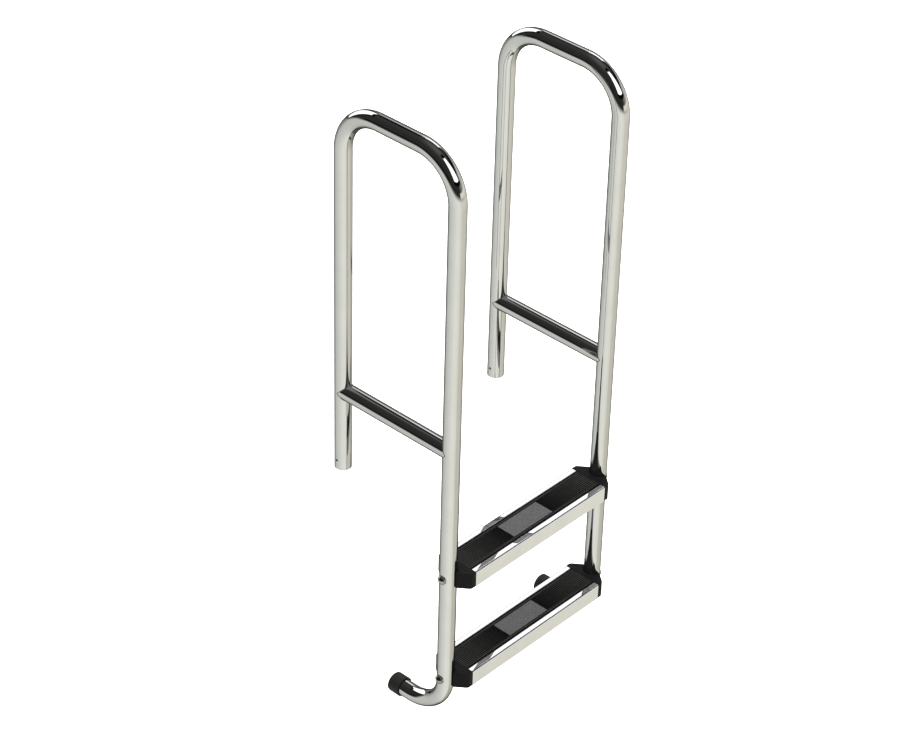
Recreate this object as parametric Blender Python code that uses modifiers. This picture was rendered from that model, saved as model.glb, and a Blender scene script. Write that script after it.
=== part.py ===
"""Boat boarding ladder: two bent tube rails, two treads with end caps, and their fasteners.

Metres, +Z up. X runs along the treads with the left rail at -X, and +Y points at the boat.
The origin is midway between the open lower ends of the two short deck legs.
"""
import math

import bmesh
import bpy
from mathutils import Vector

# Driving dimensions, in metres
TUBE_RADIUS = 0.0206
TUBE_WALL = 0.002
RAIL_SPACING = 0.514          # between the axes of the two rails
RAIL_DEPTH = 0.3326           # between the deck leg's axis and the front leg's axis
TOP_HEIGHT = 0.945            # axis of the top bar above the deck legs' ends
BRACE_HEIGHT = 0.212          # axis of the cross brace above the deck legs' ends
FOOT_DEPTH = 0.544            # axis of the J-bend's foot below the deck legs' ends
BEND_RADIUS = 0.106           # centre line of every bend
FIXING_HOLE_HEIGHT = 0.0254
FIXING_HOLE_RADIUS = 0.00325

TREAD_TOPS = {"upper": -0.1145, "lower": -0.4085}
TREAD_HEIGHT = 0.0415
TREAD_DEPTH = 0.104
TREAD_SHEET = 0.0012
TREAD_EDGE_RADIUS = 0.0030
RECESS_WIDTH = 0.0745
RECESS_DEPTH = 0.0030
RECESS_EDGE_RADIUS = 0.0014

INSERT_THICKNESS = 0.0027
RIB_COUNT = 13
RIB_PITCH = 0.0051
RIB_TOP_WIDTH = 0.0022
RIB_BASE_WIDTH = 0.0032
RIB_HEIGHT = 0.0014
GRIP_PAD_LENGTH = 0.130
GRIP_PAD_WIDTH = 0.052
GRIP_PAD_THICKNESS = 0.0014

CAP_LENGTH = 0.0363           # from the front leg's axis to the cap's shoulder
CAP_RISE = 0.0006             # cap above the tread's steel edge strips
CAP_HEIGHT = 0.0421
CAP_EAR_START = 0.0005        # tips of the ears, from the front leg's axis
CAP_EAR_HALF_WIDTH = 0.0245
CAP_CORNER_REACH = 0.0220     # where the slanted ear would meet the straight side
CAP_CORNER_RADIUS = 0.010
CAP_EDGE = 0.0012
CAP_WEB_END = 0.028           # where the solid web behind the saddle stops
CAP_PLUG_LENGTH = 0.0155
CAP_WALL = 0.0032

BOLT_RADIUS = 0.004
BOLT_DROP = 0.0200            # bolt axis below the tread's top
BOLT_END = 0.0385             # tip of the bolt, from the front leg's axis towards the tread
BOLT_HEAD_RADIUS = 0.0090
BOLT_HEAD_HEIGHT = 0.0058
WASHER_RADIUS = 0.0112
WASHER_RISE = 0.0026          # washer's flat face above the tube
NUT_ACROSS_FLATS = 0.013
NUT_THICKNESS = 0.0065

BUMPER_START = 0.1290         # mouth of the bumper, from the front leg's axis
BUMPER_LENGTH = 0.0338
BUMPER_RADIUS = 0.0245
BUMPER_END_THICKNESS = 0.006
BUMPER_EDGE_RADIUS = 0.004

CLEARANCE = 0.0003            # kept between pieces that touch
MERGE_DISTANCE = 0.00001

# Fineness of the round shapes
TUBE_SIDES = 24
BEND_STEPS = 8
TURNED_STEPS = 20
CORNER_STEPS = 4
CAP_CORNER_STEPS = 7
SHARP_ANGLE = math.radians(35)

SIDES = {"left": -1, "right": 1}
RAIL_X = RAIL_SPACING / 2
FRONT_Y = -RAIL_DEPTH
CHANNEL_LENGTH = RAIL_SPACING - 2 * (CAP_LENGTH + CLEARANCE)
CUTTER_SPAN = RAIL_SPACING + 0.2


def clear_scene():
    for obj in list(bpy.data.objects):
        bpy.data.objects.remove(obj, do_unlink=True)


def new_collection(name):
    collection = bpy.data.collections.new(name)
    bpy.context.scene.collection.children.link(collection)
    return collection


def new_material(name, color, roughness, metallic):
    material = bpy.data.materials.new(name)
    material.use_nodes = True
    shader = material.node_tree.nodes["Principled BSDF"]
    shader.inputs["Base Color"].default_value = (*color, 1.0)
    shader.inputs["Roughness"].default_value = roughness
    shader.inputs["Metallic"].default_value = metallic
    return material


# Outlines ------------------------------------------------------------------------------------

def arc(center, radius, start_degrees, end_degrees, steps):
    """Points along an arc in a plane, both ends included."""
    points = []
    for step in range(steps + 1):
        angle = math.radians(start_degrees + (end_degrees - start_degrees) * step / steps)
        points.append((center[0] + radius * math.cos(angle), center[1] + radius * math.sin(angle)))
    return points


def rounded_corner(before, corner, after, radius, steps):
    """The arc of the given radius that replaces a corner of an outline."""
    corner = Vector(corner)
    arriving = (Vector(before) - corner).normalized()
    leaving = (Vector(after) - corner).normalized()
    half_angle = arriving.angle(leaving) / 2
    center = corner + (arriving + leaving).normalized() * radius / math.sin(half_angle)
    first = corner + arriving * radius / math.tan(half_angle) - center
    last = corner + leaving * radius / math.tan(half_angle) - center
    turn = first.angle(last)
    points = []
    for step in range(steps + 1):
        share = step / steps
        blend = first * math.sin((1 - share) * turn) + last * math.sin(share * turn)
        points.append(tuple(center + blend / math.sin(turn)))
    return points


def rounded_path(corners, radii, steps):
    """An open outline whose inner corners are rounded by the radii given, or left sharp at 0."""
    points = [corners[0]]
    for index, radius in enumerate(radii, start=1):
        if radius > 0:
            points += rounded_corner(corners[index - 1], corners[index], corners[index + 1], radius, steps)
        else:
            points.append(corners[index])
    points.append(corners[-1])
    return points


# Solids --------------------------------------------------------------------------------------

def add_object(name, mesh, collection, material=None, location=(0, 0, 0), rotation=(0, 0, 0)):
    obj = bpy.data.objects.new(name, mesh)
    obj.location = location
    obj.rotation_euler = rotation
    collection.objects.link(obj)
    if material is not None:
        mesh.materials.clear()
        mesh.materials.append(material)
    return obj


def shade(mesh):
    mesh.shade_smooth()
    mesh.set_sharp_from_angle(angle=SHARP_ANGLE)


def mesh_from_curve(curve, name, collection):
    """The curve's surface as a mesh of its own, with loose caps welded on."""
    guide = bpy.data.objects.new(name + "_guide", curve)
    collection.objects.link(guide)
    evaluated = guide.evaluated_get(bpy.context.evaluated_depsgraph_get())
    mesh = bpy.data.meshes.new_from_object(evaluated)
    mesh.name = name
    bpy.data.objects.remove(guide, do_unlink=True)
    bpy.data.curves.remove(curve)
    bm = bmesh.new()
    bm.from_mesh(mesh)
    bmesh.ops.remove_doubles(bm, verts=bm.verts, dist=MERGE_DISTANCE)
    bm.to_mesh(mesh)
    bm.free()
    shade(mesh)
    return mesh


def swept_tube(name, path, radius, closed_ends, collection):
    """The outer skin of a tube along a path, open at both ends or closed by flat caps."""
    curve = bpy.data.curves.new(name, "CURVE")
    curve.dimensions = "3D"
    spline = curve.splines.new("POLY")
    spline.points.add(len(path) - 1)
    for point, position in zip(spline.points, path):
        point.co = (*position, 1.0)
    curve.bevel_depth = radius
    curve.bevel_resolution = (TUBE_SIDES - 4) // 2
    curve.use_fill_caps = closed_ends
    return mesh_from_curve(curve, name, collection)


def extruded_outline(name, outline, length, collection):
    """A closed flat outline, thickened evenly to both sides of its plane."""
    curve = bpy.data.curves.new(name, "CURVE")
    curve.dimensions = "2D"
    curve.fill_mode = "BOTH"
    curve.extrude = length / 2
    spline = curve.splines.new("POLY")
    spline.points.add(len(outline) - 1)
    for point, (across, along) in zip(spline.points, outline):
        point.co = (across, along, 0.0, 1.0)
    spline.use_cyclic_u = True
    return mesh_from_curve(curve, name, collection)


def bent_sheet(name, profile, length):
    """An open sheet whose bent edge runs through (y, z) points, drawn out along X."""
    bm = bmesh.new()
    verts = [bm.verts.new((-length / 2, y, z)) for y, z in profile]
    edges = [bm.edges.new(pair) for pair in zip(verts, verts[1:])]
    drawn = bmesh.ops.extrude_edge_only(bm, edges=edges)["geom"]
    ends = [item for item in drawn if isinstance(item, bmesh.types.BMVert)]
    bmesh.ops.translate(bm, verts=ends, vec=(length, 0, 0))
    mesh = bpy.data.meshes.new(name)
    bm.to_mesh(mesh)
    bm.free()
    shade(mesh)
    return mesh


def turned_profile(name, profile):
    """The half section of a turned piece, from the top of its axis down its outer side."""
    bm = bmesh.new()
    verts = [bm.verts.new((radius, 0, height)) for radius, height in profile]
    for pair in zip(verts, verts[1:]):
        bm.edges.new(pair)
    mesh = bpy.data.meshes.new(name)
    bm.to_mesh(mesh)
    bm.free()
    return mesh


def box_mesh(name, size):
    bm = bmesh.new()
    bmesh.ops.create_cube(bm, size=1.0)
    bmesh.ops.scale(bm, verts=bm.verts, vec=size)
    mesh = bpy.data.meshes.new(name)
    bm.to_mesh(mesh)
    bm.free()
    return mesh


def cylinder_mesh(name, radius, length, segments):
    """A solid cylinder about Z, centred on the origin."""
    bm = bmesh.new()
    bmesh.ops.create_cone(bm, cap_ends=True, segments=segments,
                          radius1=radius, radius2=radius, depth=length)
    mesh = bpy.data.meshes.new(name)
    bm.to_mesh(mesh)
    bm.free()
    shade(mesh)
    return mesh


# Modifiers -----------------------------------------------------------------------------------

def add_solidify(obj, thickness, offset):
    modifier = obj.modifiers.new("Wall", "SOLIDIFY")
    modifier.thickness = thickness
    modifier.offset = offset
    modifier.use_even_offset = True


def add_screw(obj):
    modifier = obj.modifiers.new("Turn", "SCREW")
    modifier.axis = "Z"
    modifier.steps = TURNED_STEPS
    modifier.render_steps = TURNED_STEPS
    modifier.use_merge_vertices = True
    modifier.merge_threshold = MERGE_DISTANCE
    modifier.use_smooth_shade = True


def add_bevel(obj, width, segments):
    modifier = obj.modifiers.new("Edges", "BEVEL")
    modifier.width = width
    modifier.segments = segments
    modifier.limit_method = "ANGLE"
    modifier.angle_limit = SHARP_ANGLE


def add_boolean(obj, other, operation="DIFFERENCE"):
    modifier = obj.modifiers.new(other.name, "BOOLEAN")
    modifier.object = other
    modifier.operation = operation
    modifier.solver = "EXACT"


# Cutters -------------------------------------------------------------------------------------

def add_cutter(name, mesh, collection, location, rotation=(0, 0, 0)):
    cutter = add_object(name, mesh, collection, location=location, rotation=rotation)
    cutter.hide_render = True
    cutter.display_type = "WIRE"
    return cutter


def make_cutters(collection):
    along_x = (0, math.pi / 2, 0)
    cutters = {}
    fixing = cylinder_mesh("fixing_hole", FIXING_HOLE_RADIUS, CUTTER_SPAN, 16)
    cutters["fixing_hole"] = add_cutter("fixing_hole_cutter", fixing, collection,
                                        (0, 0, FIXING_HOLE_HEIGHT), along_x)
    for level, top in TREAD_TOPS.items():
        bore = cylinder_mesh(level + "_bolt_bore", BOLT_RADIUS + CLEARANCE, CUTTER_SPAN, TURNED_STEPS)
        cutters[level + "_bore"] = add_cutter(level + "_bolt_bore_cutter", bore, collection,
                                              (0, FRONT_Y, top - BOLT_DROP), along_x)
    for side, sign in SIDES.items():
        name = side + "_rail_space"
        space = swept_tube(name, rail_path(), TUBE_RADIUS + CLEARANCE, True, collection)
        cutters[name] = add_cutter(name + "_cutter", space, collection, (sign * RAIL_X, 0, 0))
    return cutters


# The rails -----------------------------------------------------------------------------------

def rail_path():
    """Centre line of a rail in its own plane, from the deck leg's open end to the end of the J-bend."""
    corners = [(0.0, 0.0), (0.0, TOP_HEIGHT), (FRONT_Y, TOP_HEIGHT), (FRONT_Y, -FOOT_DEPTH),
               (FRONT_Y + BUMPER_START + BUMPER_LENGTH - BUMPER_END_THICKNESS - CLEARANCE, -FOOT_DEPTH)]
    return [(0.0, y, z) for y, z in rounded_path(corners, [BEND_RADIUS] * 3, BEND_STEPS)]


def make_rail(side, sign, parts, cutters, material):
    name = side + "_rail_tube"
    skin = swept_tube(name, rail_path(), TUBE_RADIUS, False, parts)
    rail = add_object(name, skin, parts, material, location=(sign * RAIL_X, 0, 0))
    add_solidify(rail, TUBE_WALL, -1)
    add_boolean(rail, cutters["fixing_hole"])
    for level in TREAD_TOPS:
        add_boolean(rail, cutters[level + "_bore"])
    return rail


def make_brace(side, sign, parts, cutters, material):
    """The straight tube between a rail's two legs, coped to fit round both."""
    name = side + "_cross_brace"
    skin = swept_tube(name, [(0, 0, 0), (0, FRONT_Y, 0)], TUBE_RADIUS, False, parts)
    half_side = math.pi / TUBE_SIDES
    brace = add_object(name, skin, parts, material, location=(sign * RAIL_X, 0, BRACE_HEIGHT),
                       rotation=(0, half_side, 0))
    add_solidify(brace, TUBE_WALL, -1)
    add_boolean(brace, cutters[side + "_rail_space"])
    return brace


def bumper_profile():
    inner = TUBE_RADIUS + CLEARANCE
    rounding = BUMPER_EDGE_RADIUS
    profile = [(0.0, BUMPER_LENGTH)]
    profile += arc((BUMPER_RADIUS - rounding, BUMPER_LENGTH - rounding), rounding, 90, 0, CORNER_STEPS)
    profile += [(BUMPER_RADIUS, 0.0005), (BUMPER_RADIUS - 0.0005, 0.0), (inner, 0.0)]
    profile += [(inner, BUMPER_LENGTH - BUMPER_END_THICKNESS), (0.0, BUMPER_LENGTH - BUMPER_END_THICKNESS)]
    return profile


def make_bumper(side, sign, parts, material):
    name = side + "_bumper_cap"
    bumper = add_object(name, turned_profile(name, bumper_profile()), parts, material,
                        location=(sign * RAIL_X, FRONT_Y + BUMPER_START, -FOOT_DEPTH),
                        rotation=(-math.pi / 2, 0, 0))
    add_screw(bumper)
    return bumper


# The treads ----------------------------------------------------------------------------------

def channel_profile():
    """Outer skin of the tread's steel sheet, front to back, from its top edge at z = 0."""
    side = TREAD_DEPTH / 2
    lip = RECESS_WIDTH / 2
    corners = [(-side, -TREAD_HEIGHT), (-side, 0), (-lip, 0), (-lip, -RECESS_DEPTH),
               (lip, -RECESS_DEPTH), (lip, 0), (side, 0), (side, -TREAD_HEIGHT)]
    radii = [TREAD_EDGE_RADIUS, RECESS_EDGE_RADIUS, 0, 0, RECESS_EDGE_RADIUS, TREAD_EDGE_RADIUS]
    return rounded_path(corners, radii, CORNER_STEPS)


def make_channel(level, top, parts, material):
    name = level + "_tread_channel"
    channel = add_object(name, bent_sheet(name, channel_profile(), CHANNEL_LENGTH), parts, material,
                         location=(0, FRONT_Y, top))
    add_solidify(channel, TREAD_SHEET, -1)
    return channel


def pad_floor(top):
    """Height that the grip pad's pocket is cut down to, which is the roots of the ribs."""
    return top - RECESS_DEPTH + CLEARANCE + INSERT_THICKNESS - RIB_HEIGHT


def insert_outline():
    """Cross section of the ribbed insert, with the ribs' roots at RIB_HEIGHT below its top."""
    half = RECESS_WIDTH / 2 - CLEARANCE
    root = INSERT_THICKNESS - RIB_HEIGHT
    outline = [(-half, 0.0), (half, 0.0), (half, root)]
    for index in reversed(range(RIB_COUNT)):
        middle = (index - (RIB_COUNT - 1) / 2) * RIB_PITCH
        outline += [(middle + RIB_BASE_WIDTH / 2, root), (middle + RIB_TOP_WIDTH / 2, INSERT_THICKNESS),
                    (middle - RIB_TOP_WIDTH / 2, INSERT_THICKNESS), (middle - RIB_BASE_WIDTH / 2, root)]
    outline.append((-half, root))
    return outline


def make_insert(level, top, parts, cutter_collection, material):
    name = level + "_tread_insert"
    mesh = extruded_outline(name, insert_outline(), CHANNEL_LENGTH, parts)
    insert = add_object(name, mesh, parts, material,
                        location=(0, FRONT_Y, top - RECESS_DEPTH + CLEARANCE),
                        rotation=(math.pi / 2, 0, math.pi / 2))
    pocket_size = (GRIP_PAD_LENGTH + 2 * CLEARANCE, GRIP_PAD_WIDTH + 2 * CLEARANCE, 0.02)
    pocket = add_cutter(level + "_pad_pocket", box_mesh(level + "_pad_pocket", pocket_size),
                        cutter_collection, (0, FRONT_Y, pad_floor(top) + pocket_size[2] / 2))
    add_boolean(insert, pocket)
    return insert


def make_pad(level, top, parts, material):
    name = level + "_grip_pad"
    size = (GRIP_PAD_LENGTH, GRIP_PAD_WIDTH, GRIP_PAD_THICKNESS)
    middle = pad_floor(top) + CLEARANCE + GRIP_PAD_THICKNESS / 2
    pad = add_object(name, box_mesh(name, size), parts, material, location=(0, FRONT_Y, middle))
    add_bevel(pad, 0.0003, 1)
    return pad


def cap_outline():
    """Plan of an end cap before its saddle is cut: two slanted ears and a straight shoulder."""
    side = TREAD_DEPTH / 2
    corners = [(CAP_EAR_START, CAP_EAR_HALF_WIDTH), (CAP_CORNER_REACH, side), (CAP_LENGTH, side)]
    back_ear = rounded_path(corners, [CAP_CORNER_RADIUS], CAP_CORNER_STEPS)
    front_ear = [(x, -y) for x, y in reversed(back_ear)]
    return front_ear + back_ear


def make_cap(level, top, side, sign, parts, cutter_collection, cutters, material):
    """A moulded end cap: solid saddle end, hollow and open below where the nut sits."""
    name = level + "_" + side + "_tread_cap"
    turned = (0, 0, 0) if sign < 0 else (0, 0, math.pi)
    place = Vector((sign * RAIL_X, FRONT_Y, top + CAP_RISE - CAP_HEIGHT / 2))
    inward = -sign
    cap = add_object(name, extruded_outline(name, cap_outline(), CAP_HEIGHT, parts), parts, material,
                     location=place, rotation=turned)
    add_bevel(cap, CAP_EDGE, 2)
    add_boolean(cap, cutters[side + "_rail_space"])

    overlap = 0.002
    plug_top = top - RECESS_DEPTH - TREAD_SHEET - CLEARANCE
    plug_bottom = top - TREAD_HEIGHT + 0.002
    plug_width = TREAD_DEPTH - 2 * (TREAD_SHEET + CLEARANCE)
    plug_size = (CAP_PLUG_LENGTH + overlap, plug_width, plug_top - plug_bottom)
    plug_x = sign * RAIL_X + inward * (CAP_LENGTH - overlap + plug_size[0] / 2)
    plug = add_cutter(name + "_plug", box_mesh(name + "_plug", plug_size), cutter_collection,
                      (plug_x, FRONT_Y, (plug_top + plug_bottom) / 2))
    add_boolean(cap, plug, "UNION")

    hollow_reach = 0.05
    hollow_top = plug_top - CAP_WALL
    hollow_size = (hollow_reach, plug_width - 2 * CAP_WALL, 0.06)
    hollow_x = sign * RAIL_X + inward * (CAP_WEB_END + hollow_reach / 2)
    hollow = add_cutter(name + "_hollow", box_mesh(name + "_hollow", hollow_size), cutter_collection,
                        (hollow_x, FRONT_Y, hollow_top - hollow_size[2] / 2))
    add_boolean(cap, hollow)
    add_boolean(cap, cutters[level + "_bore"])
    return cap


# The fasteners -------------------------------------------------------------------------------

def bolt_profile():
    """Domed head above z = 0 and a plain shank below it."""
    dome_radius = (BOLT_HEAD_RADIUS ** 2 + BOLT_HEAD_HEIGHT ** 2) / (2 * BOLT_HEAD_HEIGHT)
    rim_angle = math.degrees(math.acos(BOLT_HEAD_RADIUS / dome_radius))
    dome = arc((0.0, BOLT_HEAD_HEIGHT - dome_radius), dome_radius, 90, rim_angle, 6)
    shank_end = -(TUBE_RADIUS + WASHER_RISE + CLEARANCE + BOLT_END)
    return dome + [(BOLT_RADIUS, 0.0), (BOLT_RADIUS, shank_end + 0.001),
                   (BOLT_RADIUS - 0.001, shank_end), (0.0, shank_end)]


def make_fasteners(level, top, side, sign, parts, cutters, material):
    axis_height = top - BOLT_DROP
    outward = (0, sign * math.pi / 2, 0)
    prefix = level + "_" + side

    seat = TUBE_RADIUS + WASHER_RISE + CLEARANCE
    bolt = add_object(prefix + "_bolt", turned_profile(prefix + "_bolt", bolt_profile()), parts, material,
                      location=(sign * (RAIL_X + seat), FRONT_Y, axis_height), rotation=outward)
    add_screw(bolt)

    washer_length = 0.008
    washer_mesh = cylinder_mesh(prefix + "_washer", WASHER_RADIUS, washer_length, 28)
    washer_x = sign * (RAIL_X + TUBE_RADIUS + WASHER_RISE - washer_length / 2)
    washer = add_object(prefix + "_washer", washer_mesh, parts, material,
                        location=(washer_x, FRONT_Y, axis_height), rotation=outward)
    add_boolean(washer, cutters[side + "_rail_space"])
    add_boolean(washer, cutters[level + "_bore"])

    nut_mesh = cylinder_mesh(prefix + "_nut", NUT_ACROSS_FLATS / math.sqrt(3), NUT_THICKNESS, 6)
    nut_x = sign * (RAIL_X - CAP_WEB_END - CLEARANCE - NUT_THICKNESS / 2)
    nut = add_object(prefix + "_nut", nut_mesh, parts, material,
                     location=(nut_x, FRONT_Y, axis_height), rotation=outward)
    add_boolean(nut, cutters[level + "_bore"])
    return [bolt, washer, nut]


def main():
    clear_scene()
    parts = new_collection("boat_boarding_ladder")
    cutter_collection = new_collection("cutters")
    steel = new_material("polished_steel", (0.72, 0.72, 0.70), 0.08, 1.0)
    fastener = new_material("fastener_steel", (0.60, 0.60, 0.58), 0.15, 1.0)
    cap_plastic = new_material("cap_plastic", (0.020, 0.020, 0.021), 0.45, 0.0)
    ribbed_rubber = new_material("ribbed_rubber", (0.015, 0.015, 0.014), 0.60, 0.0)
    bumper_rubber = new_material("bumper_rubber", (0.018, 0.018, 0.017), 0.55, 0.0)
    grit = new_material("grip_grit", (0.13, 0.13, 0.13), 0.90, 0.0)

    cutters = make_cutters(cutter_collection)
    pieces = []
    for side, sign in SIDES.items():
        pieces.append(make_rail(side, sign, parts, cutters, steel))
        pieces.append(make_brace(side, sign, parts, cutters, steel))
        pieces.append(make_bumper(side, sign, parts, bumper_rubber))
    for level, top in TREAD_TOPS.items():
        pieces.append(make_channel(level, top, parts, steel))
        pieces.append(make_insert(level, top, parts, cutter_collection, ribbed_rubber))
        pieces.append(make_pad(level, top, parts, grit))
        for side, sign in SIDES.items():
            pieces.append(make_cap(level, top, side, sign, parts, cutter_collection, cutters, cap_plastic))
            pieces += make_fasteners(level, top, side, sign, parts, cutters, fastener)

    ladder = bpy.data.objects.new("ladder_root", None)
    parts.objects.link(ladder)
    for piece in pieces:
        piece.parent = ladder


main()
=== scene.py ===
"""Looks of the boat boarding ladder: polished tube rails, ribbed treads, moulded caps and fasteners.

Metres, in the frame of the CAD model: X along the treads, +Y towards the boat, +Z up. Places and
outer sizes come from the CAD nodes' boxes, and the named values below are the shapes between them.
"""
import math

import bmesh
import bpy
from mathutils import Euler, Matrix, Vector, noise


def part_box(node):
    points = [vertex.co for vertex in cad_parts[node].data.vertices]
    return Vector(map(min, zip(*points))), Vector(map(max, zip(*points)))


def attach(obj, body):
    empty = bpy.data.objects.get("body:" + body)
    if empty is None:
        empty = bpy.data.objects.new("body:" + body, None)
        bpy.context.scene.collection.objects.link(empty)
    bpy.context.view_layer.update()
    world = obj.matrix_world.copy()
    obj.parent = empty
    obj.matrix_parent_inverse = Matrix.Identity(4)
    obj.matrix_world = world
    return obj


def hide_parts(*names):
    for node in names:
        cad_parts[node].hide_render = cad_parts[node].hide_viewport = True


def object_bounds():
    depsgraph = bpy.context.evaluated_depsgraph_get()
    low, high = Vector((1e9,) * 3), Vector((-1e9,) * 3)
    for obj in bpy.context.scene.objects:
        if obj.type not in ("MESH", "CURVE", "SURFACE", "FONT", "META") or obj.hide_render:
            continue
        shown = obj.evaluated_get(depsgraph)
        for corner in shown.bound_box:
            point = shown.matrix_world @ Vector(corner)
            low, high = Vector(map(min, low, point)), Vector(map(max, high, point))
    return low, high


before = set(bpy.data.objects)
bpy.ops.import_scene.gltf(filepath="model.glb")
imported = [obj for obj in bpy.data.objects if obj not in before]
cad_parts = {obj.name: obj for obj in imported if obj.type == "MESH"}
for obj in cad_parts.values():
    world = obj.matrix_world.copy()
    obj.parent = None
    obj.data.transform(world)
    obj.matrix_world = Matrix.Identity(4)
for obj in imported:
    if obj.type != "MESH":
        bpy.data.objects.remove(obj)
cad_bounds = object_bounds()

BEND_RADIUS = 0.106
TUBE_WALL = 0.002
TUBE_EDGE = 0.0004            # rounding of a tube's open end
FIXING_HOLE_HEIGHT = 0.0254
FIXING_HOLE_RADIUS = 0.00325
WELD_RADIUS = 0.0008
BRACE_EMBED = 0.0001          # how far the brace's ends reach into the legs' skin
CLEARANCE = 0.0003
SNUG = CLEARANCE / 3          # gap of a piece that sits tight on another

SHEET = 0.0012
SHEET_BEND = 0.0034
RECESS_WIDTH = 0.0745
RECESS_DEPTH = 0.0030
RECESS_BEND = 0.0014
RECESS_FLOOR_BEND = 0.0003

RIB_COUNT = 13
RIB_PITCH = 0.0051
RIB_TOP_WIDTH = 0.0022
RIB_BASE_WIDTH = 0.0032
RIB_HEIGHT = 0.0014
RIB_ROUNDING = 0.0003
# Painted shade: below this depth under the rib tops the insert is coloured nearly black, standing in
# for the grooves' shade.
UNSHADED_RIB_TOP_DEPTH = 0.7 * RIB_ROUNDING
INSERT_EDGE = 0.0002
GRIT_SPACING = 0.0005
GRIT_HEIGHT = 0.00030
GRIT_FINENESS = 1400
GRIT_HOLLOW = -0.5            # the lowest a grain goes, as a share of GRIT_HEIGHT

CAP_EAR_START = 0.0005        # tips of the ears, from the front leg's axis
CAP_EAR_HALF_WIDTH = 0.0245
CAP_CORNER_REACH = 0.0220
CAP_CORNER_RADIUS = 0.010
CAP_EDGE = 0.0013
CAP_WEB_END = 0.028
CAP_WALL = 0.0032
CAP_SADDLE_STEPS = 30
CAP_BORE_MIDDLE = 0.03        # middle of the bore's cutter, from the front leg's axis
OUTLINE_ROOM = 0.0001         # what a corner has beyond the edge that is rounded inside it
PLUG_OVERLAP = 0.004
PLUG_DROP = 0.002             # the channel's lower edge below the plug's

BUMPER_EDGE = 0.0040
BUMPER_MOUTH_EDGE = 0.0008
BUMPER_END_THICKNESS = 0.006
BUMPER_FACE_SHARE = 0.4       # a ring on the flat face, as a share of its radius

BOLT_HEAD_HEIGHT = 0.0058
BOLT_HEAD_RADIUS = 0.0090
BOLT_RADIUS = 0.004
THREAD_PITCH = 0.00125
THREAD_DEPTH = 0.0006
THREAD_LENGTH = 0.022
THREAD_FORM = [(0.1, 0.0), (0.5, THREAD_DEPTH), (0.6, THREAD_DEPTH), (1.0, 0.0)]   # by share of a turn
BOLT_RIM = 0.0002
DOME_RIM_DEGREES = 3          # the dome ends this much above the rim
BOLT_TIP_CHAMFER = 0.001
WASHER_EDGE = 0.0008
NUT_CHAMFER = 0.0012
NUT_FACE_SHARE = 0.98         # the nut's round face, as a share of its half width
NUT_BORE_CHAMFER = 0.0006

TUBE_SEGMENTS = 96
TUBE_EDGE_STEPS = 3
BRACE_STEPS = 16
WELD_SEGMENTS = 12
HOLE_SEGMENTS = 48
CROSS_CUT = 0.06              # length of the cutters through a tube
CAP_CROSS_CUT = 0.08
CUT_BEYOND = 0.01             # how far a cutter stands out of what it cuts
STRAIGHT_STEP = 0.02
BEND_STEPS = 32
CORNER_STEPS = 6
BUMPER_EDGE_STEPS = 10
SMALL_EDGE_STEPS = 5
DOME_STEPS = 14
WASHER_STEPS = 6              # across the washer's underside
LATHE_SEGMENTS = 72
SHARP_ANGLE = math.radians(35)
MERGE_DISTANCE = 1e-7
SAME_RADIUS = 1e-9
SHARPEST_MITRE = 0.2
POLISH_DEPTH = 5e-9

SIDES = {"left": -1, "right": 1}
LEVELS = ("upper", "lower")


def middle(node):
    low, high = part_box(node)
    return (low + high) / 2


def size(node):
    low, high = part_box(node)
    return high - low


rail_low, rail_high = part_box("left_rail_tube")
TUBE_RADIUS = (rail_high.x - rail_low.x) / 2
RAIL_X = middle("right_rail_tube").x
FRONT_Y = rail_low.y + TUBE_RADIUS
TOP_Z = rail_high.z - TUBE_RADIUS
FOOT_Z = rail_low.z + TUBE_RADIUS
BRACE_Z = middle("left_cross_brace").z
BUMPER_LOW, BUMPER_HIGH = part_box("left_bumper_cap")
FOOT_END_Y = BUMPER_HIGH.y - BUMPER_END_THICKNESS - CLEARANCE


# Meshes --------------------------------------------------------------------------------------

def finished_mesh(bm, name):
    bmesh.ops.remove_doubles(bm, verts=bm.verts, dist=MERGE_DISTANCE)
    bmesh.ops.recalc_face_normals(bm, faces=bm.faces)
    mesh = bpy.data.meshes.new(name)
    bm.to_mesh(mesh)
    bm.free()
    mesh.shade_smooth()
    mesh.set_sharp_from_angle(angle=SHARP_ANGLE)
    return mesh


def loft(name, rings, ring_loop=False):
    """Quads between rings of points. The rings join up in a loop, or flat faces close both ends."""
    bm = bmesh.new()
    rows = [[bm.verts.new(point) for point in ring] for ring in rings]
    pairs = list(zip(rows, rows[1:]))
    if ring_loop:
        pairs.append((rows[-1], rows[0]))
    else:
        bm.faces.new(rows[0])
        bm.faces.new(rows[-1])
    for first, second in pairs:
        for index in range(len(first)):
            after = (index + 1) % len(first)
            bm.faces.new((first[index], first[after], second[after], second[index]))
    return finished_mesh(bm, name)


def turned_ring(radius, height):
    """A ring of points about Z."""
    turns = [math.tau * step / LATHE_SEGMENTS for step in range(LATHE_SEGMENTS)]
    return [(radius * math.cos(turn), radius * math.sin(turn), height) for turn in turns]


def lathe(name, profile):
    """A turned solid about Z, from a half section that starts and ends on the axis."""
    bm = bmesh.new()
    rows = [[bm.verts.new(point) for point in turned_ring(radius, height)]
            for radius, height in profile]
    for first, second in zip(rows, rows[1:]):
        for index in range(LATHE_SEGMENTS):
            after = (index + 1) % LATHE_SEGMENTS
            bm.faces.new((first[index], first[after], second[after], second[index]))
    return finished_mesh(bm, name)


def arc(center, radius, start_degrees, end_degrees, steps):
    """Points on an arc, held in single precision as a mesh holds them."""
    points = []
    for step in range(steps + 1):
        angle = math.radians(start_degrees + (end_degrees - start_degrees) * step / steps)
        point = Vector((center[0] + radius * math.cos(angle), center[1] + radius * math.sin(angle)))
        points.append(tuple(point))
    return points


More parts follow.
